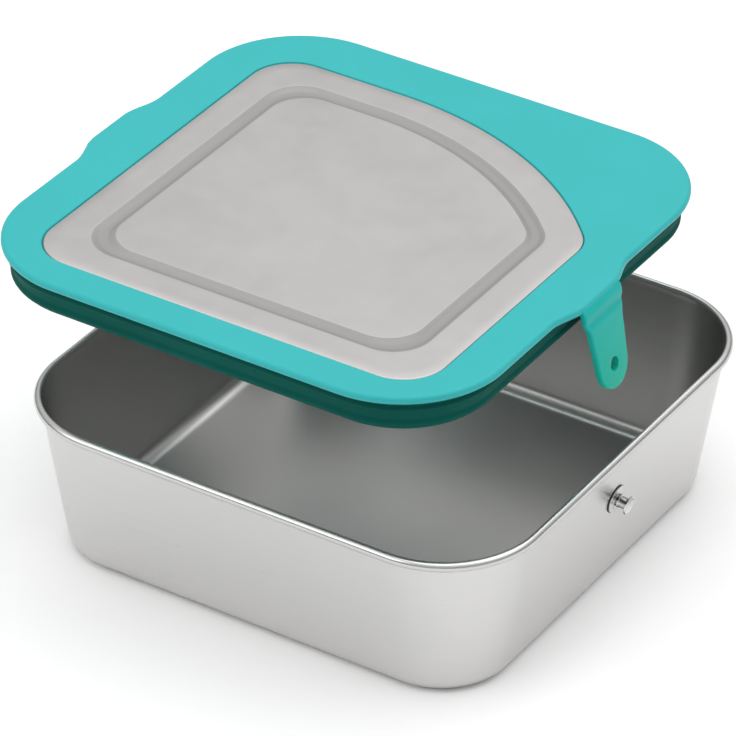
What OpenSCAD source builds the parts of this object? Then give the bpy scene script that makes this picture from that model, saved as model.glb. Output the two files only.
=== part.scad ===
// Square steel food container with a silicone-framed snap lid.
// The tub stands on z = 0 with its centre on the Z axis. The lid is shown lifted
// off the tub, and both latch straps hang from its -X and +X edges.

/* [Tub] */
// Half of the outer width over the rolled rim, mm
rim_half = 95; // [80:1:110]
// Corner radius of the rolled rim, measured outside
rim_corner = 36.6; // [30:0.2:45]
// Height from the base to the top of the rim
tub_h = 59; // [45:1:80]
// Radius of the rolled bead
bead_r = 1.8; // [1.2:0.1:2.2]
// Half of the outer width at the base, before the bottom fillet
base_half = 84.2; // [75:0.2:92]
// Sheet thickness
sheet = 0.8; // [0.6:0.1:1.2]
// Radius of the fillet between wall and base
base_fillet = 6; // [4:0.5:12]

/* [Lid] */
// Half of the lid's width
lid_half = 93; // [80:1:108]
// Corner radius of the lid
lid_corner = 38.3; // [30:0.1:42]
// Thickness of the silicone flange
flange_t = 3; // [2.4:0.1:4]
// How far the flange swells out where a strap hangs
root_bump = 3.7; // [2.5:0.1:6]
// Depth of the plug ring under the flange
seal_h = 11.7; // [8:0.1:13]
// Thickness of the inlaid steel plate
plate_t = 0.8; // [0.6:0.1:1]
// Depth of the channel pressed into the plate
channel_d = 0.8; // [0.5:0.1:1.4]

/* [Latch] */
// Distance from the strap's hinge axis to its hole
strap_reach = 21.3; // [20:0.1:26]
// Width of the strap at the hinge
strap_root_w = 23; // [20:0.5:26]
// Width of the strap at the hole
strap_tip_w = 17; // [14:0.2:20]
// Strap thickness
strap_t = 2.6; // [2:0.1:3]
// Diameter of the hole in the strap
strap_hole_d = 5; // [4.6:0.1:6]
// Angle from vertical at which the free strap hangs
strap_hang = 12; // [12:1:20]
// Diameter of the stud's neck
stud_neck_d = 4; // [3:0.1:4.2]
// Diameter of the stud's head
stud_head_d = 6.6; // [5.4:0.1:7.2]

/* [Lifted lid] */
// Sideways shift of the lifted lid, X
lift_x = -11.9; // [-14:0.1:0]
// Sideways shift of the lifted lid, Y
lift_y = -5.4; // [-14:0.1:0]
// Height of the lifted lid over its closed place
lift_z = 56.8; // [50:0.1:90]

/* [Hidden] */
$fn = 48;

steel = [0.78, 0.78, 0.77];
steel_bright = [0.88, 0.88, 0.88];
plate_grey = [0.74, 0.73, 0.72];
teal = [0.29, 0.78, 0.78];
teal_dark = [0.10, 0.50, 0.44];

bead_c = rim_half - bead_r;              // centre line of the bead
bead_z = tub_h - bead_r;
wall_top_z = tub_h - 2 * bead_r;
wall_top = rim_half - 2.37;              // outer half width just under the bead
draft = (wall_top - base_half) / wall_top_z;
draft_a = atan(draft);
top_corner = rim_corner - 3.0;           // wall corner radius just under the bead
seat = 0.2;                              // gap between rim and closed flange
lid_z = tub_h + seat + flange_t / 2;     // middle of the closed flange
hinge_x = rim_half + 1.75;
hinge_r = strap_t / 2;
hinge_z = tub_h + seat - hinge_r - 0.3;
lift = [lift_x, lift_y, lift_z];
plate_gap = 0.15;

// ---- plan shapes -------------------------------------------------------
// rounded square with points along its sides, anticlockwise from the +X side
NC = 9;                                  // steps in a corner
SIDE = [-31.6, -24.3, -22.5, -20.5, -18.5, -16.5, -14.5, -12.5, -10.5, -8.7,
        8.7, 10.5, 12.5, 14.5, 16.5, 18.5, 20.5, 22.5, 24.3, 31.6];
function rsq(h, r) = [
    for (q = [0:3]) let (a0 = q * 90,
        cx = (q == 0 || q == 3 ? 1 : -1) * (h - r), cy = (q < 2 ? 1 : -1) * (h - r))
        for (i = [0:NC]) let (a = a0 + 90 * i / NC) [cx + r * cos(a), cy + r * sin(a)]
];
// smooth swelling of the +X and -X sides around the strap roots
function ss(t) = let (u = max(0, min(1, t))) u * u * (3 - 2 * u);
function swell(y, amt) = amt * ss((24.5 - abs(y)) / 16);
function rsq_root(h, r, amt) = concat(
    [for (y = SIDE) [h + swell(y, amt), y]],
    [for (i = [0:NC]) let (a = 90 * i / NC) [h - r + r * cos(a), h - r + r * sin(a)]],
    [for (i = [0:NC]) let (a = 90 + 90 * i / NC) [-(h - r) + r * cos(a), h - r + r * sin(a)]],
    [for (k = [len(SIDE) - 1:-1:0]) [-h - swell(SIDE[k], amt), SIDE[k]]],
    [for (i = [0:NC]) let (a = 180 + 90 * i / NC) [-(h - r) + r * cos(a), -(h - r) + r * sin(a)]],
    [for (i = [0:NC]) let (a = 270 + 90 * i / NC) [h - r + r * cos(a), -(h - r) + r * sin(a)]]
);
// plan of the inlaid plate: three plain corners, and one long arc across the +X +Y corner
px0 = -75; px1 = 77.6; py0 = -80; py1 = 71.7;
arc_c = [-25, -60.6]; arc_r = 132.3;
NP = 8;
function plate_pts(d) = let (
        x0 = px0 + d, x1 = px1 - d, y0 = py0 + d, y1 = py1 - d, r = max(16 - d * 0.15, 8),
        R = arc_r - d, s = 15 - d * 0.15,
        // small rounding between the right side and the long arc
        sx = x1 - s, sy = arc_c[1] + sqrt(pow(R - s, 2) - pow(sx - arc_c[0], 2)),
        as = atan2(sy - arc_c[1], sx - arc_c[0]))
    concat(
        [for (i = [0:NP]) let (a = as * i / NP) [sx + s * cos(a), sy + s * sin(a)]],
        [for (i = [1:18]) let (a = as + (90 - as) * i / 18) [arc_c[0] + R * cos(a), arc_c[1] + R * sin(a)]],
        [for (i = [0:NP]) let (a = 90 + 90 * i / NP) [x0 + r + r * cos(a), y1 - r + r * sin(a)]],
        [for (i = [0:NP]) let (a = 180 + 90 * i / NP) [x0 + r + r * cos(a), y0 + r + r * sin(a)]],
        [for (i = [0:NP]) let (a = 270 + 90 * i / NP) [x1 - r + r * cos(a), y0 + r + r * sin(a)]]
    );

// closed solid through a list of rings with equal point counts
module loft(rings, fan = false) {
    n = len(rings[0]);
    m = len(rings);
    polyhedron(
        points = concat([for (r = rings) for (p = r) p],
            fan ? [[0, 0, rings[0][0][2]], [0, 0, rings[m - 1][0][2]]] : []),
        faces = concat(
            fan ? [for (i = [0:n - 1]) [i, (i + 1) % n, m * n]] : [[for (i = [0:n - 1]) i]],
            [for (k = [0:m - 2]) for (i = [0:n - 1]) let (j = (i + 1) % n) each
                [[k * n + i, (k + 1) * n + j, k * n + j], [k * n + i, (k + 1) * n + i, (k + 1) * n + j]]],
            fan ? [for (i = [0:n - 1]) [(m - 1) * n + (i + 1) % n, (m - 1) * n + i, m * n + 1]]
                : [[for (i = [n - 1:-1:0]) (m - 1) * n + i]]
        ), convexity = 6);
}
// closed ring-shaped solid: the last ring joins the first
module loft_ring(rings) {
    n = len(rings[0]);
    m = len(rings);
    polyhedron(
        points = [for (r = rings) for (p = r) p],
        faces = [for (k = [0:m - 1]) for (i = [0:n - 1]) let (j = (i + 1) % n, q = (k + 1) % m) each
            [[k * n + i, q * n + j, k * n + j], [k * n + i, q * n + i, q * n + j]]],
        convexity = 8);
}
function at_z(pts, z) = [for (p = pts) [p[0], p[1], z]];

// ---- tub ---------------------------------------------------------------
function wall_half(z) = base_half + draft * z;
function wall_ring(half, z) = at_z(rsq(half, max(top_corner - (wall_top - half), 4)), z);
function fil(f, a, off) = // arc between the base and the sloping wall; off is the inward offset
    [fil_x(f) + (f - off) * cos(a), f + (f - off) * sin(a)];
function fil_x(f) = base_half + draft * f - f / cos(draft_a);
module tub() {
    f = base_fillet;
    sh = sheet / cos(draft_a);
    arc = [-74:13.2:-draft_a];
    arc_in = [for (k = [4:-1:0]) -74 + 13.2 * k];
    outer = concat(
        [for (a = arc) let (q = fil(f, a, 0)) wall_ring(q[0], q[1])],
        [for (z = [f + 4, 30, 45, wall_top_z - 0.2]) wall_ring(wall_half(z), z)]);
    // the sheet's inner face runs straight up into the rolled rim
    bead_in = bead_c - (wall_half(bead_z) - sh);
    bead = [for (a = [-95:24:180]) let (x = bead_c + (a > 90 ? bead_in : bead_r) * cos(a), z = bead_z + bead_r * sin(a)) wall_ring(x, z)];
    inner = concat(
        [for (z = [wall_top_z - 0.6, 45, 30, f + 4]) wall_ring(wall_half(z) - sh, z)],
        [for (a = arc_in) let (q = fil(f, a, sheet)) wall_ring(q[0], q[1])]);
    color(steel)
    loft(concat([wall_ring(fil_x(f), 0)], outer, bead, inner, [wall_ring(fil_x(f), sheet)]));
}

// ---- studs -------------------------------------------------------------
// where the latched strap's hole lies, and the point of the wall behind it
latch_a = 11.5;
hole_x = hinge_x - strap_reach * sin(latch_a);
hole_z = hinge_z - strap_reach * cos(latch_a);
stud_s = (hole_x - base_half - draft * hole_z) / (cos(draft_a) + draft * sin(draft_a));
stud_x = hole_x - stud_s * cos(draft_a);
stud_z = hole_z + stud_s * sin(draft_a);
module on_wall(side) {
    mirror([side < 0 ? 1 : 0, 0, 0])
    translate([stud_x, 0, stud_z]) rotate([0, 90 + draft_a, 0]) children();
}
module stud_washer(side) {
    color(steel) on_wall(side)
    rotate_extrude() polygon([[stud_neck_d / 2 + 0.02, 0.02], [5.2, 0.02], [5.2, 0.35], [4.9, 0.7], [3.1, 0.75],
        [2.9, 1.0], [stud_neck_d / 2 + 0.02, 1.0]]);
}
module stud(side) {
    n = stud_neck_d / 2;
    h = stud_head_d / 2;
    color(steel_bright) on_wall(side)
    rotate_extrude() polygon([[0, 0.02], [n, 0.02], [n, 4.3], [n + 0.45, 4.45], [h - 0.25, 4.75], [h, 5.0],
        [h, 5.25], [h - 0.25, 5.45], [n, 5.25], [0.9, 5.05], [0, 5.0]]);
}
module stud_washer_right() { stud_washer(1); }
module stud_washer_left() { stud_washer(-1); }
module stud_right() { stud(1); }
module stud_left() { stud(-1); }

// ---- lid, drawn closed and then lifted -----------------------------------
plate_top = lid_z + flange_t / 2 - 0.25;
module lid_plate() {
    color(plate_grey) translate(lift)
    difference() {
        union() {
            translate([0, 0, plate_top - plate_t]) linear_extrude(plate_t) polygon(plate_pts(plate_gap));
            translate([0, 0, plate_top - plate_t - channel_d]) linear_extrude(channel_d + 0.1) difference() {
                polygon(plate_pts(12.2));
                polygon(plate_pts(18.6));
            }
        }
        translate([0, 0, plate_top - channel_d]) linear_extrude(channel_d + 1) difference() {
            polygon(plate_pts(13));
            polygon(plate_pts(17.8));
        }
    }
}
module lid_frame() {
    e = flange_t / 2;
    color(teal) translate(lift)
    difference() {
        loft([for (a = [-90:22.5:90]) let (q = e * (1 - cos(a)))
            at_z(rsq_root(lid_half - q, lid_corner - q, root_bump), lid_z + e * sin(a))], fan = true);
        // seat of the plate, and the window inside it
        translate([0, 0, plate_top - plate_t]) linear_extrude(5) polygon(plate_pts(0));
        translate([0, 0, lid_z - 5]) linear_extrude(10) polygon(plate_pts(8));
    }
}
module lid_seal() {
    z0 = lid_z - flange_t / 2;
    k = seal_h / 11.7;
    out = [[0, 90.3], [1.6 * k, 89.6], [2.4 * k, 90.2], [3.1 * k, 90.5], [3.8 * k, 90.1], [4.7 * k, 89.1],
           [7.6 * k, 88.7], [8.4 * k, 89.2], [9.2 * k, 89.45], [10 * k, 89.1], [10.9 * k, 88.2], [seal_h, 87.4]];
    ins = [[seal_h, 86.6], [10.6 * k, 86.0], [4.7 * k, 86.2], [0, 85.6]];
    color(teal_dark) translate(lift)
    loft_ring([for (p = concat([for (k = [len(out) - 1:-1:0]) out[k]], [for (k = [3:-1:0]) ins[k]]))
        at_z(rsq(p[1], p[1] - 56.5), z0 - p[0])]);
}
// strap drawn hanging straight down from a hinge axis along Y through the origin
module strap_flat() {
    w = strap_root_w / 2;
    r = strap_tip_w / 2;
    difference() {
        union() {
            translate([0, w, 0]) rotate([90, 0, 0]) cylinder(r = hinge_r, h = 2 * w);
            rotate([0, 90, 0]) translate([0, 0, -hinge_r]) linear_extrude(strap_t) union() {
                polygon([[0, -w], [0, w], [2.5, w - 0.3], [4.5, w - 1.2], [7, r + 1.2], [strap_reach * 0.6, r + 0.7],
                    [strap_reach, r], [strap_reach, -r], [strap_reach * 0.6, -r - 0.7], [7, -r - 1.2],
                    [4.5, -w + 1.2], [2.5, -w + 0.3]]);
                translate([strap_reach, 0]) circle(r = r, $fn = 64);
            }
        }
        translate([-5, 0, -strap_reach]) rotate([0, 90, 0]) cylinder(d = strap_hole_d, h = 10);
        // shallow groove across the strap just under the hinge, on the outer face
        translate([hinge_r + 0.75, w + 1, -2.6]) rotate([90, 0, 0]) cylinder(r = 1.25, h = 2 * w + 2);
    }
}
module strap(side) {
    color(teal) translate(lift)
    mirror([side < 0 ? 1 : 0, 0, 0])
    translate([hinge_x, 0, hinge_z]) rotate([0, -strap_hang, 0]) strap_flat();
}
module strap_right() { strap(1); }
module strap_left() { strap(-1); }

tub();
stud_washer_right();
stud_washer_left();
stud_right();
stud_left();
lid_plate();
lid_frame();
lid_seal();
strap_right();
strap_left();
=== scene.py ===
import bpy, bmesh, math
import numpy as np
from mathutils import Matrix, Vector

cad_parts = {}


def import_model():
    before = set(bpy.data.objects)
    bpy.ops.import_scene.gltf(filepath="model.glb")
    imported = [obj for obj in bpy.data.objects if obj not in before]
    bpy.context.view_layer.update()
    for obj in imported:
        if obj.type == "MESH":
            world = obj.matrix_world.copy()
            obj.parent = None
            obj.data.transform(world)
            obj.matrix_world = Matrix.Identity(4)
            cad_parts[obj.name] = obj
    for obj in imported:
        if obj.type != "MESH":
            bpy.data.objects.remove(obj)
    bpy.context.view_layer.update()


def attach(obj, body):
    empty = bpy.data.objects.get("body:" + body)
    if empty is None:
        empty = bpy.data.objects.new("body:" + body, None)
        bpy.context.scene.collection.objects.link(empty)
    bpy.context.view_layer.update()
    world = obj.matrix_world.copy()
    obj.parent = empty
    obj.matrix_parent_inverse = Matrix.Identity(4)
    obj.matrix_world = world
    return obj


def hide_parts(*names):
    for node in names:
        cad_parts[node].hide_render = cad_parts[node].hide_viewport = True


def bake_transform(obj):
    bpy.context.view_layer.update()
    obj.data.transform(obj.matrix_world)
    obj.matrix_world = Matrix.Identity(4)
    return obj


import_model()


sc = bpy.context.scene
MM = 0.001

# ---------------------------------------------------------------- camera
cam_d = bpy.data.cameras.new("camera")
cam = bpy.data.objects.new("camera", cam_d)
sc.collection.objects.link(cam)
back = Vector((0.44584308, -0.70567239, 0.55068178))
right = Vector((0.84312022, 0.53768687, 0.00641289))
up = Vector((-0.30061976, 0.4614318, 0.83469063))
M = Matrix((right, up, back)).transposed().to_4x4()
M.translation = Vector((0.79632017, -1.27198438, 1.0464791))
cam.matrix_world = M
cam_d.sensor_width = 36.0
cam_d.lens = 36.0 * 5353.3127 / 736.0
cam_d.clip_start, cam_d.clip_end = 0.05, 50.0
sc.camera = cam

# ---------------------------------------------------------------- node helpers
def mat_new(name):
    m = bpy.data.materials.new(name)
    m.use_nodes = True
    nt = m.node_tree
    nt.nodes.clear()
    out = nt.nodes.new("ShaderNodeOutputMaterial")
    bs = nt.nodes.new("ShaderNodeBsdfPrincipled")
    nt.links.new(bs.outputs[0], out.inputs[0])
    return m, nt, bs


def coords(nt, scale=(1, 1, 1)):
    tc = nt.nodes.new("ShaderNodeTexCoord")
    mp = nt.nodes.new("ShaderNodeMapping")
    mp.inputs["Scale"].default_value = scale
    nt.links.new(tc.outputs["Object"], mp.inputs["Vector"])
    return mp.outputs[0]


def noise(nt, vec, scale, detail=4.0, rough=0.55, seed=0.0):
    n = nt.nodes.new("ShaderNodeTexNoise")
    n.noise_dimensions = "4D"
    n.inputs["W"].default_value = seed
    n.inputs["Scale"].default_value = scale
    n.inputs["Detail"].default_value = detail
    n.inputs["Roughness"].default_value = rough
    nt.links.new(vec, n.inputs["Vector"])
    return n.outputs["Fac"]


def rng(nt, val, a, b, lo, hi):
    n = nt.nodes.new("ShaderNodeMapRange")
    n.inputs["From Min"].default_value, n.inputs["From Max"].default_value = a, b
    n.inputs["To Min"].default_value, n.inputs["To Max"].default_value = lo, hi
    nt.links.new(val, n.inputs["Value"])
    return n.outputs["Result"]


def mixc(nt, fac, c1, c2):
    n = nt.nodes.new("ShaderNodeMix")
    n.data_type = "RGBA"
    if isinstance(fac, float):
        n.inputs[0].default_value = fac
    else:
        nt.links.new(fac, n.inputs[0])
    for k, c in ((6, c1), (7, c2)):
        if isinstance(c, tuple):
            n.inputs[k].default_value = (*c, 1)
        else:
            nt.links.new(c, n.inputs[k])
    return n.outputs[2]


def bump(nt, h, strength, dist, prev=None):
    n = nt.nodes.new("ShaderNodeBump")
    n.inputs["Strength"].default_value = strength
    n.inputs["Distance"].default_value = dist
    nt.links.new(h, n.inputs["Height"])
    if prev is not None:
        nt.links.new(prev, n.inputs["Normal"])
    return n.outputs["Normal"]


def add(nt, a, b, op="ADD"):
    n = nt.nodes.new("ShaderNodeMath")
    n.operation = op
    for k, v in ((0, a), (1, b)):
        if isinstance(v, (int, float)):
            n.inputs[k].default_value = v
        else:
            nt.links.new(v, n.inputs[k])
    return n.outputs[0]


def brushed(name, base, base2, r_lo, r_hi, grain, fine=0.16, cloud=0.04, metallic=1.0, bdist=0.00002):
    """Brushed or satin steel: streaks that run round the piece, over soft clouding."""
    m, nt, bs = mat_new(name)
    v = coords(nt)
    gv = coords(nt, grain)
    streak = noise(nt, gv, 1.0, 3.0, 0.6, 1.0)
    streak2 = noise(nt, coords(nt, tuple(g * 3.1 for g in grain)), 1.0, 2.0, 0.5, 7.0)
    soft = noise(nt, v, 22.0, 3.0, 0.5, 3.0)
    s = add(nt, add(nt, streak, 0.6, "MULTIPLY"), add(nt, streak2, 0.4, "MULTIPLY"))
    s2 = rng(nt, s, 0.3, 0.7, 0.0, 1.0)
    col = mixc(nt, s2, base2, base)
    nt.links.new(col, bs.inputs["Base Color"])
    r = add(nt, rng(nt, s, 0.3, 0.7, r_lo, r_hi), rng(nt, soft, 0.3, 0.7, -cloud, cloud))
    nt.links.new(r, bs.inputs["Roughness"])
    bs.inputs["Metallic"].default_value = metallic
    nt.links.new(bump(nt, s, fine, bdist), bs.inputs["Normal"])
    return m


def silicone(name, c1, c2, rough=0.46, fine=0.35):
    m, nt, bs = mat_new(name)
    v = coords(nt)
    cl = noise(nt, v, 30.0, 3.0, 0.5, 2.0)
    gr = noise(nt, v, 2600.0, 2.0, 0.6, 5.0)
    nt.links.new(mixc(nt, rng(nt, cl, 0.35, 0.65, 0.0, 1.0), c1, c2), bs.inputs["Base Color"])
    nt.links.new(rng(nt, gr, 0.3, 0.7, rough - 0.05, rough + 0.07), bs.inputs["Roughness"])
    nt.links.new(bump(nt, gr, fine, 0.00003), bs.inputs["Normal"])
    bs.inputs["Metallic"].default_value = 0.0
    bs.inputs["IOR"].default_value = 1.41
    bs.inputs["Specular IOR Level"].default_value = 0.42
    bs.inputs["Sheen Weight"].default_value = 0.08
    bs.inputs["Sheen Roughness"].default_value = 0.5
    bs.inputs["Subsurface Weight"].default_value = 0.12
    bs.inputs["Subsurface Radius"].default_value = (0.002, 0.006, 0.006)
    bs.inputs["Subsurface Scale"].default_value = 0.4
    return m


M_TUB = brushed("tub_satin_steel", (0.645, 0.64, 0.63), (0.612, 0.607, 0.597), 0.27, 0.33, (10, 10, 2200), fine=0.08, cloud=0.015)
# the tub's inside is the same steel as its outside, painted darker: painted shade under the lid
M_TUB_IN = brushed("tub_inside_steel_painted_shade", (0.47, 0.47, 0.46), (0.44, 0.44, 0.43), 0.29, 0.34, (10, 10, 2200), fine=0.06, cloud=0.02)
M_BEAD = brushed("rim_bead_steel", (0.60, 0.60, 0.59), (0.55, 0.55, 0.54), 0.24, 0.30, (40, 40, 900), fine=0.06)
M_PLATE = brushed("lid_plate_steel", (0.550, 0.537, 0.528), (0.523, 0.510, 0.501), 0.46, 0.53, (60, 60, 60), fine=0.10, cloud=0.06)
# the pressed channel is the plate's own steel painted darker and duller: painted shade in the recess
M_CHAN = brushed("lid_plate_channel_painted_shade", (0.385, 0.375, 0.368), (0.365, 0.356, 0.349), 0.66, 0.74, (60, 60, 60), fine=0.10, cloud=0.03, metallic=0.85)


def painted_reflection_steel(name, axis, stops, rough):
    """Bright turned steel with painted reflections: dark and light bands, painted by which way the face points, stand
    in for a studio's reflections.
    """
    m, nt, bs = mat_new(name)
    geo = nt.nodes.new("ShaderNodeNewGeometry")
    sp = nt.nodes.new("ShaderNodeSeparateXYZ")
    nt.links.new(geo.outputs["Normal"], sp.inputs[0])
    comp = sp.outputs[axis]
    if axis == 0:
        comp = add(nt, comp, 0.0, "ABSOLUTE")
    else:
        comp = rng(nt, comp, -1.0, 1.0, 0.0, 1.0)
    rp = nt.nodes.new("ShaderNodeValToRGB")
    els = rp.color_ramp.elements
    while len(els) < len(stops):
        els.new(0.5)
    for e, (pos, v) in zip(els, stops):
        e.position, e.color = pos, (v, v, v * 0.99, 1)
    nt.links.new(comp, rp.inputs[0])
    nz = noise(nt, coords(nt), 900.0, 3.0, 0.5, 4.0)
    nt.links.new(rp.outputs[0], bs.inputs["Base Color"])
    nt.links.new(rng(nt, nz, 0.3, 0.7, rough, rough + 0.05), bs.inputs["Roughness"])
    nt.links.new(bump(nt, nz, 0.05, 0.00002), bs.inputs["Normal"])
    bs.inputs["Metallic"].default_value = 1.0
    return m


# stud and washer colours are painted reflections: dark and light bands set by the face's direction, with painted shade
# on the washer's sides
M_STUD = painted_reflection_steel("stud_steel_painted_reflections", 2, [(0.0, 0.02), (0.30, 0.03), (0.40, 0.60), (0.62, 0.80), (0.74, 0.85), (0.82, 0.05), (0.92, 0.10), (1.0, 0.65)], 0.10)
M_WASH = painted_reflection_steel("washer_steel_painted_shade", 0, [(0.0, 0.03), (0.55, 0.05), (0.80, 0.50), (1.0, 0.62)], 0.24)
M_SIL = silicone("silicone_turquoise", (0.019, 0.390, 0.398), (0.021, 0.406, 0.414))
# the strap is the lid's own silicone tinted greener and darker: painted shade and painted reflected light
M_STRAP = silicone("silicone_turquoise_strap_painted_shade", (0.008, 0.400, 0.366), (0.009, 0.415, 0.380))
_nt = M_STRAP.node_tree                     # painted shade and painted green reflected light deepen the strap's colour towards its tip
_bs = _nt.nodes["Principled BSDF"]
_bs.inputs["Specular IOR Level"].default_value = 0.25
_bs.inputs["Sheen Weight"].default_value = 0.02
_tc = _nt.nodes.new("ShaderNodeTexCoord")
_sx = _nt.nodes.new("ShaderNodeSeparateXYZ")
_nt.links.new(_tc.outputs["Object"], _sx.inputs[0])
_old = _bs.inputs["Base Color"].links[0].from_socket
_nt.links.new(mixc(_nt, rng(_nt, _sx.outputs[2], 0.115, 0.084, 0.0, 1.0), _old, (0.002, 0.395, 0.275)), _bs.inputs["Base Color"])
# the seal ring is the lid's own silicone painted far darker: painted shade under the flange
M_SIL2 = silicone("silicone_turquoise_ring_painted_shade", (0.001, 0.074, 0.058), (0.002, 0.088, 0.07), 0.55)
for k_, v_ in (("Specular IOR Level", 0.08), ("Sheen Weight", 0.0), ("Subsurface Weight", 0.0)):
    M_SIL2.node_tree.nodes["Principled BSDF"].inputs[k_].default_value = v_

# ---------------------------------------------------------------- plan shapes (mm)
RIM, RIMC, H, BR, BASE, SHEET, FIL = 95.0, 36.6, 59.0, 1.8, 84.2, 0.8, 6.0
BC, BZ, WTZ, WT = RIM - BR, H - BR, H - 2 * BR, RIM - 2.37
DR = (WT - BASE) / WTZ
DA = math.atan(DR)
TC = RIMC - 3.0
LH, LC, FT, BUMP = 93.0, 38.3, 3.0, 3.7
LZ = H + 0.2 + FT / 2
ST = 2.6                         # strap thickness
HX, HR = RIM + 1.75, ST / 2
HZ = H + 0.2 - HR - 0.3
LIFT = np.array([-11.9, -5.4, 56.8])
REACH = 21.3


def ss(t):
    t = np.clip(t, 0, 1)
    return t * t * (3 - 2 * t)


def rsq(h, r, nc=28, ns=6):
    """Rounded square, anticlockwise from the middle of the +X side, with points along its sides."""
    pts = []
    L = h - r
    for q in range(4):
        a0 = math.radians(90 * q)
        R = np.array([[math.cos(a0), -math.sin(a0)], [math.sin(a0), math.cos(a0)]])
        side = [(h, y) for y in np.linspace(-L, L, ns, endpoint=False)]
        arc = [(L + r * math.cos(t), L + r * math.sin(t)) for t in np.linspace(0, math.pi / 2, nc, endpoint=False)]
        pts += [R @ np.array(p) for p in side + arc]
    return np.array(pts)


def polar(poly, n=960):
    """The closed outline sampled at n even polar angles about the centre."""
    nx = np.roll(poly, -1, 0)
    dense = []
    for p, q in zip(poly, nx):
        k = max(1, int(np.hypot(*(q - p)) / 0.4))
        t = np.arange(k)[:, None] / k
        dense.append(p + (q - p) * t)
    poly = np.vstack(dense)
    a = np.unwrap(np.arctan2(poly[:, 1], poly[:, 0]))
    r = np.hypot(poly[:, 0], poly[:, 1])
    a2 = np.r_[a - 2 * np.pi, a, a + 2 * np.pi]
    r2 = np.r_[r, r, r]
    t = np.arange(n) * 2 * np.pi / n
    rr = np.interp(t, a2, r2)
    return np.c_[rr * np.cos(t), rr * np.sin(t)]


def rsq_root(h, r, amt, n=960):
    pts = []
    L = h - r
    for q in range(4):
        a0 = math.radians(90 * q)
        R = np.array([[math.cos(a0), -math.sin(a0)], [math.sin(a0), math.cos(a0)]])
        ys = np.linspace(-L, L, 160, endpoint=False)
        k = amt * ss((24.5 - np.abs(ys)) / 16) if q in (0, 2) else 0 * ys
        side = np.c_[h + k, ys]
        t = np.linspace(0, np.pi / 2, 60, endpoint=False)
        arc = np.c_[L + r * np.cos(t), L + r * np.sin(t)]
        pts.append(np.vstack([side, arc]) @ R.T)
    return polar(np.vstack(pts), n)


PX0, PX1, PY0, PY1 = -75.0, 77.6, -80.0, 71.7
AC, AR = (-25.0, -60.6), 132.3


def plate_out(d, n=960):
    x0, x1, y0, y1 = PX0 + d, PX1 - d, PY0 + d, PY1 - d
    r = max(16 - d * 0.15, 8)
    R, s = AR - d, 15 - d * 0.15
    sx = x1 - s
    sy = AC[1] + math.sqrt((R - s) ** 2 - (sx - AC[0]) ** 2)
    aa = math.atan2(sy - AC[1], sx - AC[0])
    P = []
    t = np.linspace(0, aa, 40)
    P.append(np.c_[sx + s * np.cos(t), sy + s * np.sin(t)])
    t = np.linspace(aa, np.pi / 2, 160)[1:]
    P.append(np.c_[AC[0] + R * np.cos(t), AC[1] + R * np.sin(t)])
    for cx, cy, a0 in ((x0 + r, y1 - r, 90), (x0 + r, y0 + r, 180), (x1 - r, y0 + r, 270)):
        t = np.radians(np.linspace(a0, a0 + 90, 50))
        P.append(np.c_[cx + r * np.cos(t), cy + r * np.sin(t)])
    return polar(np.vstack(P), n)


# ---------------------------------------------------------------- mesh helpers
def obj(name, verts, faces, mats, fmat=None, smooth=True):
    me = bpy.data.meshes.new(name)
    me.from_pydata([tuple(v) for v in verts], [], [tuple(f) for f in faces])
    for m in mats:
        me.materials.append(m)
    me.update()
    if fmat is not None:
        me.polygons.foreach_set("material_index", np.array(fmat, dtype=np.int32))
    me.polygons.foreach_set("use_smooth", [smooth] * len(me.polygons))
    o = bpy.data.objects.new(name, me)
    sc.collection.objects.link(o)
    bm = bmesh.new()
    bm.from_mesh(me)
    bmesh.ops.recalc_face_normals(bm, faces=bm.faces)
    bm.to_mesh(me)
    bm.free()
    return o


def loft(name, rings, mats, ring_mat=None, close="caps", off=(0, 0, 0)):
    """Closed skin through rings of equal length. close: caps (fans at both ends) or ring (last joins first)."""
    n, m = len(rings[0]), len(rings)
    V = np.vstack(rings) + np.array(off)
    F, FM = [], []
    last = m if close == "ring" else m - 1
    for k in range(last):
        q = (k + 1) % m
        for i in range(n):
            j = (i + 1) % n
            F.append((k * n + i, k * n + j, q * n + j, q * n + i))
            FM.append(ring_mat[k] if ring_mat else 0)
    V = list(V)
    if close == "caps":
        for k in (0, m - 1):
            V.append(np.array(rings[k]).mean(0) + np.array(off))
            c = len(V) - 1
            for i in range(n):
                F.append((k * n + i, k * n + (i + 1) % n, c))
                FM.append(ring_mat[min(k, m - 2)] if ring_mat else 0)
    return obj(name, np.array(V) * MM, F, mats, FM)


def at(p2, z):
    return np.c_[p2, np.full(len(p2), z)]


def sharp(o, deg=38):
    me = o.data
    bm = bmesh.new()
    bm.from_mesh(me)
    for e in bm.edges:
        if len(e.link_faces) == 2 and e.calc_face_angle(0) > math.radians(deg):
            e.smooth = False
    bm.to_mesh(me)
    bm.free()


# ---------------------------------------------------------------- tub
def wh(z):
    return BASE + DR * z


def wr(h, z):
    return at(rsq(h, max(TC - (WT - h), 4)), z)


fx = BASE + DR * FIL - FIL / math.cos(DA)
sh = SHEET / math.cos(DA)
rings, rm = [], []


def push(r, mi):
    rings.append(r)
    rm.append(mi)


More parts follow.
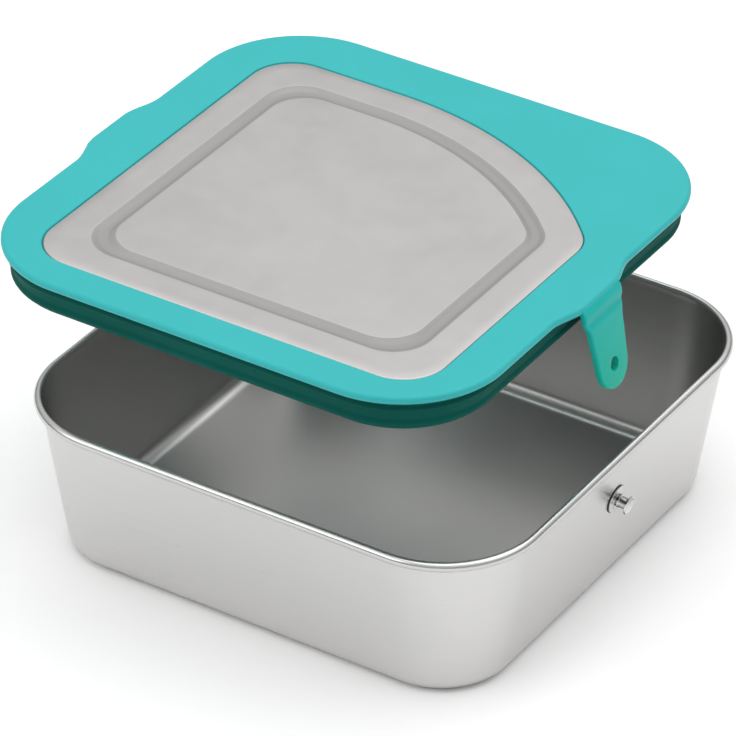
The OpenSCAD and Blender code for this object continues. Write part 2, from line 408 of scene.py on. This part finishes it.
for s in (0.25, 0.6, 0.85):
    push(wr(fx, 0) * [s, s, 1], 0)
push(wr(fx, 0), 0)
for a in np.radians(np.linspace(-84, -math.degrees(DA), 12)):
    push(wr(fx + FIL * math.cos(a), FIL + FIL * math.sin(a)), 0)
for z in (9, 14, 20, 27, 34, 42, 49, 53.4, 54.6):
    push(wr(wh(z), z), 0)
push(wr(wh(55.1), 55.1), 1)
BIN = BC - (wh(BZ) - sh)
for a in np.radians(np.linspace(-100, 180, 30)):
    push(wr(BC + (BIN if a > math.pi / 2 else BR) * math.cos(a), BZ + BR * math.sin(a)), 1 if a < math.radians(118) else 2)
for z in (55.6, 53.6, 49, 42, 34, 27, 20, 14, 9):
    push(wr(wh(z) - sh, z), 2)
for a in np.radians(np.linspace(-math.degrees(DA), -84, 12)):
    push(wr(fx + (FIL - SHEET) * math.cos(a), FIL + (FIL - SHEET) * math.sin(a)), 2)
push(wr(fx, SHEET), 2)
for s in (0.85, 0.6, 0.25):
    push(wr(fx, SHEET) * [s, s, 1], 2)
tub = loft("tub_body", rings, [M_TUB, M_BEAD, M_TUB_IN], rm)
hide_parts("tub")
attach(tub, "tub")


# ---------------------------------------------------------------- studs and washers
LA = math.radians(11.5)
hx, hz = HX - REACH * math.sin(LA), HZ - REACH * math.cos(LA)
s_ = (hx - BASE - DR * hz) / (math.cos(DA) + DR * math.sin(DA))
SX, SZ = hx - s_ * math.cos(DA), hz + s_ * math.sin(DA)


def lathe(name, prof, mat, side, closed=False, n=72):
    rings = []
    for r, h in prof:
        t = np.linspace(0, 2 * np.pi, n, endpoint=False)
        # local axis leaves the wall; x = outwards, tilted down by the draft
        lx, ly, lz = np.full(n, h), r * np.cos(t), r * np.sin(t)
        X = SX + lx * math.cos(DA) + lz * math.sin(DA)
        Z = SZ - lx * math.sin(DA) + lz * math.cos(DA)
        rings.append(np.c_[side * X, ly, Z])
    return loft(name, rings, [mat], close="ring" if closed else "caps")


def rounded(pts, k=4, f=0.35):
    """Softens the corners of an open profile."""
    out = [pts[0]]
    for a, b, c in zip(pts, pts[1:], pts[2:]):
        a, b, c = map(np.array, (a, b, c))
        d = min(np.linalg.norm(a - b), np.linalg.norm(c - b)) * f
        p, q = b + (a - b) / np.linalg.norm(a - b) * d, b + (c - b) / np.linalg.norm(c - b) * d
        for t in np.linspace(0, 1, k):
            out.append(tuple((1 - t) ** 2 * p + 2 * t * (1 - t) * b + t * t * q))
    return out + [pts[-1]]


for side, nm in ((1, "right"), (-1, "left")):
    st = lathe("stud_%s_turned" % nm, rounded([(0.02, 0.03), (2.0, 0.03), (2.0, 1.35), (2.32, 1.5), (2.32, 1.85), (2.0, 2.0), (2.0, 4.2),
        (2.45, 4.42), (3.05, 4.75), (3.3, 5.0), (3.3, 5.24), (3.05, 5.44), (2.2, 5.24), (1.0, 5.08), (0.02, 5.02)]), M_STUD, side)
    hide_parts("stud_" + nm)
    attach(st, "tub")
    wa = lathe("washer_%s_turned" % nm, rounded([(2.03, 0.03), (5.2, 0.03), (5.2, 0.35), (4.9, 0.66), (3.2, 0.72), (2.9, 0.98), (2.03, 1.0)]) + [],
               M_WASH, side, closed=True)
    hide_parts("stud_washer_" + nm)
    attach(wa, "tub")

# ---------------------------------------------------------------- lid frame
PT = LZ + FT / 2 - 0.25          # plate top
PTK, CD = 0.8, 0.8
E = FT / 2
N = 960
rings = []
for a in np.radians(np.linspace(-90, 90, 19)):
    q = E * (1 - math.cos(a))
    rings.append(at(rsq_root(LH - q, LC - q, BUMP), LZ + E * math.sin(a)))
o1 = rings[-1][:, :2]
lip = plate_out(-0.25)
for t in (0.15, 0.35, 0.6, 0.85, 0.97):
    rings.append(at(o1 * (1 - t) + lip * t, LZ + E))
for a in np.radians((0, 22, 45, 68, 90)):   # softly rounded lip down into the seat
    rings.append(at(plate_out(-0.25 + 0.25 * math.sin(a)), LZ + E - 0.25 + 0.25 * math.cos(a)))
rings.append(at(plate_out(0.0), PT - PTK))
rings.append(at(plate_out(7.6), PT - PTK))
rings.append(at(plate_out(8.0), PT - PTK - 0.3))
rings.append(at(plate_out(8.0), LZ - E + 0.3))
rings.append(at(plate_out(7.7), LZ - E))
b1, b0 = plate_out(7.7), rings[0][:, :2]
for t in (0.2, 0.5, 0.8):
    rings.append(at(b1 * (1 - t) + b0 * t, LZ - E))
fr = loft("lid_silicone_flange", rings, [M_SIL], close="ring", off=LIFT)
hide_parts("lid_frame")
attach(fr, "lid")

# ---------------------------------------------------------------- lid plate
def plate_profile(off):
    """(inset, drop) along the plate from its edge inwards: flat border, pressed channel, flat panel."""
    out = [(0.4 + 0.35, 0.0)]
    out += [(d, 0.0) for d in (4, 8, 11.2)]
    for u in np.linspace(0, 1, 11):
        out.append((12.2 + 2.3 * u, CD * float(ss(u))))
    out += [(15.0, CD), (15.4, CD)]
    for u in np.linspace(0, 1, 11):
        out.append((15.9 + 2.3 * u, CD * float(ss(1 - u))))
    out += [(19.0, 0.0), (24.0, 0.0)]
    return out


rings = []
prof = plate_profile(0)
last = prof[-1]
top = [at(plate_out(d), PT - z) for d, z in prof]
edge = []
for a in np.radians((60, 30, 0)):
    edge.append(at(plate_out(0.4 + 0.35 * (1 - math.cos(a))), PT - 0.35 + 0.35 * math.sin(a)))
inner = [top[-1] * [s, s, 1] for s in (0.8, 0.55, 0.3, 0.1)]
for r, s in zip(inner, (0.8, 0.55, 0.3, 0.1)):
    r[:, 2] = PT
bot = [r.copy() - [0, 0, PTK] for r in top]
bin_ = [r.copy() - [0, 0, PTK] for r in inner]
rings = inner[::-1] + top[::-1] + edge[::1] + [at(plate_out(0.15), PT - PTK)] + bot + bin_
nt_ = len(prof)
# rings of the pressed channel, which get the painted shade material
chan = [1 if 12.3 < 0.5 * (prof[k][0] + prof[k + 1][0]) < 18.1 else 0 for k in range(nt_ - 1)]
pm = [0] * len(inner) + chan[::-1] + [0] * (len(rings) - len(inner) - len(chan))
pl = loft("lid_plate_pressed", rings, [M_PLATE, M_CHAN], ring_mat=pm, close="caps", off=LIFT)
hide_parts("lid_plate")
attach(pl, "lid")

# ---------------------------------------------------------------- seal ring
z0 = LZ - E
prof = rounded([(90.35, 0.0), (89.6, 1.6), (90.2, 2.4), (90.5, 3.1), (90.1, 3.8), (89.0, 4.8), (88.7, 7.6), (89.2, 8.4), (89.45, 9.2),
                (89.1, 10.0), (88.2, 10.9), (87.4, 11.7), (86.6, 11.7), (86.0, 10.6), (86.2, 4.7), (85.6, 0.0)], 5, 0.45)
rings = [at(rsq(p[0], p[0] - 56.5, 36, 8), z0 - p[1]) for p in prof]
se = loft("lid_seal_ring", rings, [M_SIL2], close="ring", off=LIFT)
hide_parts("lid_seal")
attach(se, "lid")

# ---------------------------------------------------------------- straps
def strap_mesh(name, side):
    """One moulding: it leaves the flange's swelling, bends down round the hinge line and tapers to a round end with a hole."""
    hang = math.radians(12)
    w0, r = 11.5, 8.5
    hinge = np.array([HX, HZ])
    down = np.array([math.sin(hang), -math.cos(hang)])
    out = np.array([math.cos(hang), math.sin(hang)])
    # centre line: from inside the flange, over the root, down to the hinge and along the strap
    root = np.array([LH + 0.6, LZ])
    mid = np.array([HX - 0.25, LZ - 0.05])
    pts = []
    for t in np.linspace(0, 1, 14, endpoint=False):
        p = (1 - t) ** 2 * root + 2 * t * (1 - t) * mid + t * t * hinge
        d = 2 * (1 - t) * (mid - root) + 2 * t * (hinge - mid)
        pts.append((p, d / np.linalg.norm(d), -8 + 8 * t))
    L = REACH + r
    svals = list(np.linspace(0, REACH, 47)) + list(REACH + r * np.sin(np.radians(np.linspace(4, 89.2, 34))))
    for s in svals:
        pts.append((hinge + down * s, down, s))
    rings = []
    for p, d, s in pts:
        nrm = np.array([-d[1], d[0]])      # outward face
        if nrm @ out < 0:
            nrm = -nrm
        if s <= 0:
            w = w0 + 0.5 * (s / 8) ** 2
        elif s <= REACH:
            w = float(np.interp(s, (0, 1.5, 3.0, 4.5, 6.0, 8.0, 12.0, 17.0, REACH), (11.5, 11.42, 11.1, 10.4, 9.85, 9.6, 9.35, 8.9, 8.5)))
        else:
            w = max(math.sqrt(max(r * r - (s - REACH) ** 2, 0)), 0.12)
        h = HR
        if s > REACH + r - 1.0:               # round the very end
            h = HR * math.sqrt(max(1 - ((s - (REACH + r - 1.0)) / 1.0) ** 2, 0.02)) * 0.45 + HR * 0.55
        # living-hinge groove on the outer face
        g = 0.62 * math.exp(-((s - 2.6) / 1.25) ** 2)
        e = min(0.9, h * 0.6, w * 0.5)
        ring = []
        K = 7
        for cx, cy, a0 in ((w - e, h - e, 0), (-(w - e), h - e, 90), (-(w - e), -(h - e), 180), (w - e, -(h - e), 270)):
            for a in np.radians(np.linspace(a0, a0 + 90, K)):
                y, z = cx + e * math.cos(a), cy + e * math.sin(a)
                if z > 0:
                    z -= g
                q = p + nrm * z
                ring.append((side * q[0], y, q[1]))
        rings.append(np.array(ring))
    o = loft(name, rings, [M_STRAP], close="caps", off=LIFT)
    # the hole, cut straight through
    c = hinge + down * REACH
    n = 64
    t = np.linspace(0, 2 * np.pi, n, endpoint=False)
    cr = []
    for k, rr in ((-4, 2.5), (4, 2.5)):
        a = c + out * k
        cr.append(np.c_[side * (a[0] + down[0] * rr * np.cos(t)), rr * np.sin(t), a[1] + down[1] * rr * np.cos(t)])
    cut = loft("cut", cr, [M_STRAP], close="caps", off=LIFT)
    b = o.modifiers.new("b", "BOOLEAN")
    b.operation, b.object, b.solver = "DIFFERENCE", cut, "EXACT"
    bpy.context.view_layer.update()
    dg = bpy.context.evaluated_depsgraph_get()
    me = bpy.data.meshes.new_from_object(o.evaluated_get(dg))
    o.modifiers.clear()
    o.data = me
    bpy.data.objects.remove(cut)
    bm = bmesh.new()                       # no slivers left by the cut
    bm.from_mesh(me)
    bmesh.ops.triangulate(bm, faces=[f for f in bm.faces if len(f.verts) > 4])
    bmesh.ops.dissolve_degenerate(bm, dist=2e-6, edges=bm.edges)
    bm.to_mesh(me)
    bm.free()
    me.polygons.foreach_set("use_smooth", [True] * len(me.polygons))
    sharp(o, 50)
    return o


for side, nm in ((1, "right"), (-1, "left")):
    so = strap_mesh("strap_%s_moulded" % nm, side)
    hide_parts("strap_" + nm)
    a = np.array([side * (HX - 0.3), 0, HZ + 1.9]) + LIFT
    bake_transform(so)

# ---------------------------------------------------------------- stage and light
fm, nt, bs = mat_new("floor_paper")
fn = noise(nt, coords(nt), 60.0, 4.0, 0.5, 1.0)
nt.links.new(mixc(nt, fn, (0.93, 0.93, 0.93), (0.95, 0.95, 0.95)), bs.inputs["Base Color"])
bs.inputs["Roughness"].default_value = 0.9
bs.inputs["Specular IOR Level"].default_value = 0.1
g = 6000.0
floor = obj("floor", np.array([[-g, -g, -0.02], [g, -g, -0.02], [g, g, -0.02], [-g, g, -0.02]]) * MM, [(0, 1, 2, 3)], [fm], smooth=False)

w = bpy.data.worlds.new("studio")
sc.world = w
w.use_nodes = True
wn = w.node_tree
wn.nodes.clear()
wo = wn.nodes.new("ShaderNodeOutputWorld")
bg = wn.nodes.new("ShaderNodeBackground")
wn.links.new(bg.outputs[0], wo.inputs[0])
tc = wn.nodes.new("ShaderNodeTexCoord")
sx = wn.nodes.new("ShaderNodeSeparateXYZ")
wn.links.new(tc.outputs["Generated"], sx.inputs[0])
cr = wn.nodes.new("ShaderNodeValToRGB")
cr.color_ramp.interpolation = "EASE"
cr.color_ramp.elements[0].position, cr.color_ramp.elements[0].color = 0.05, (0.20, 0.20, 0.20, 1)
cr.color_ramp.elements[1].position, cr.color_ramp.elements[1].color = 0.55, (1.0, 1.0, 1.0, 1)
wn.links.new(sx.outputs[2], cr.inputs[0])
wn.links.new(cr.outputs[0], bg.inputs[0])
bg.inputs[1].default_value = 0.80


def area(name, loc, target, size, power, color=(1, 1, 1)):
    l = bpy.data.lights.new(name, "AREA")
    l.shape = "RECTANGLE"
    l.size, l.size_y = size
    l.energy = power
    l.color = color
    o = bpy.data.objects.new(name, l)
    sc.collection.objects.link(o)
    o.location = loc
    d = Vector(target) - Vector(loc)
    o.rotation_euler = d.to_track_quat("-Z", "Y").to_euler()
    return o


area("key", (0.25, 0.35, 2.2), (0, 0, 0.05), (3.0, 3.0), 38.0)
area("front_left", (-1.1, -1.6, 1.4), (-0.1, -0.2, 0.0), (1.8, 1.2), 12.0)

sc.view_settings.view_transform = "Standard"
sc.view_settings.look = "None"
sc.view_settings.exposure = 0.0
sc.view_settings.gamma = 1.0
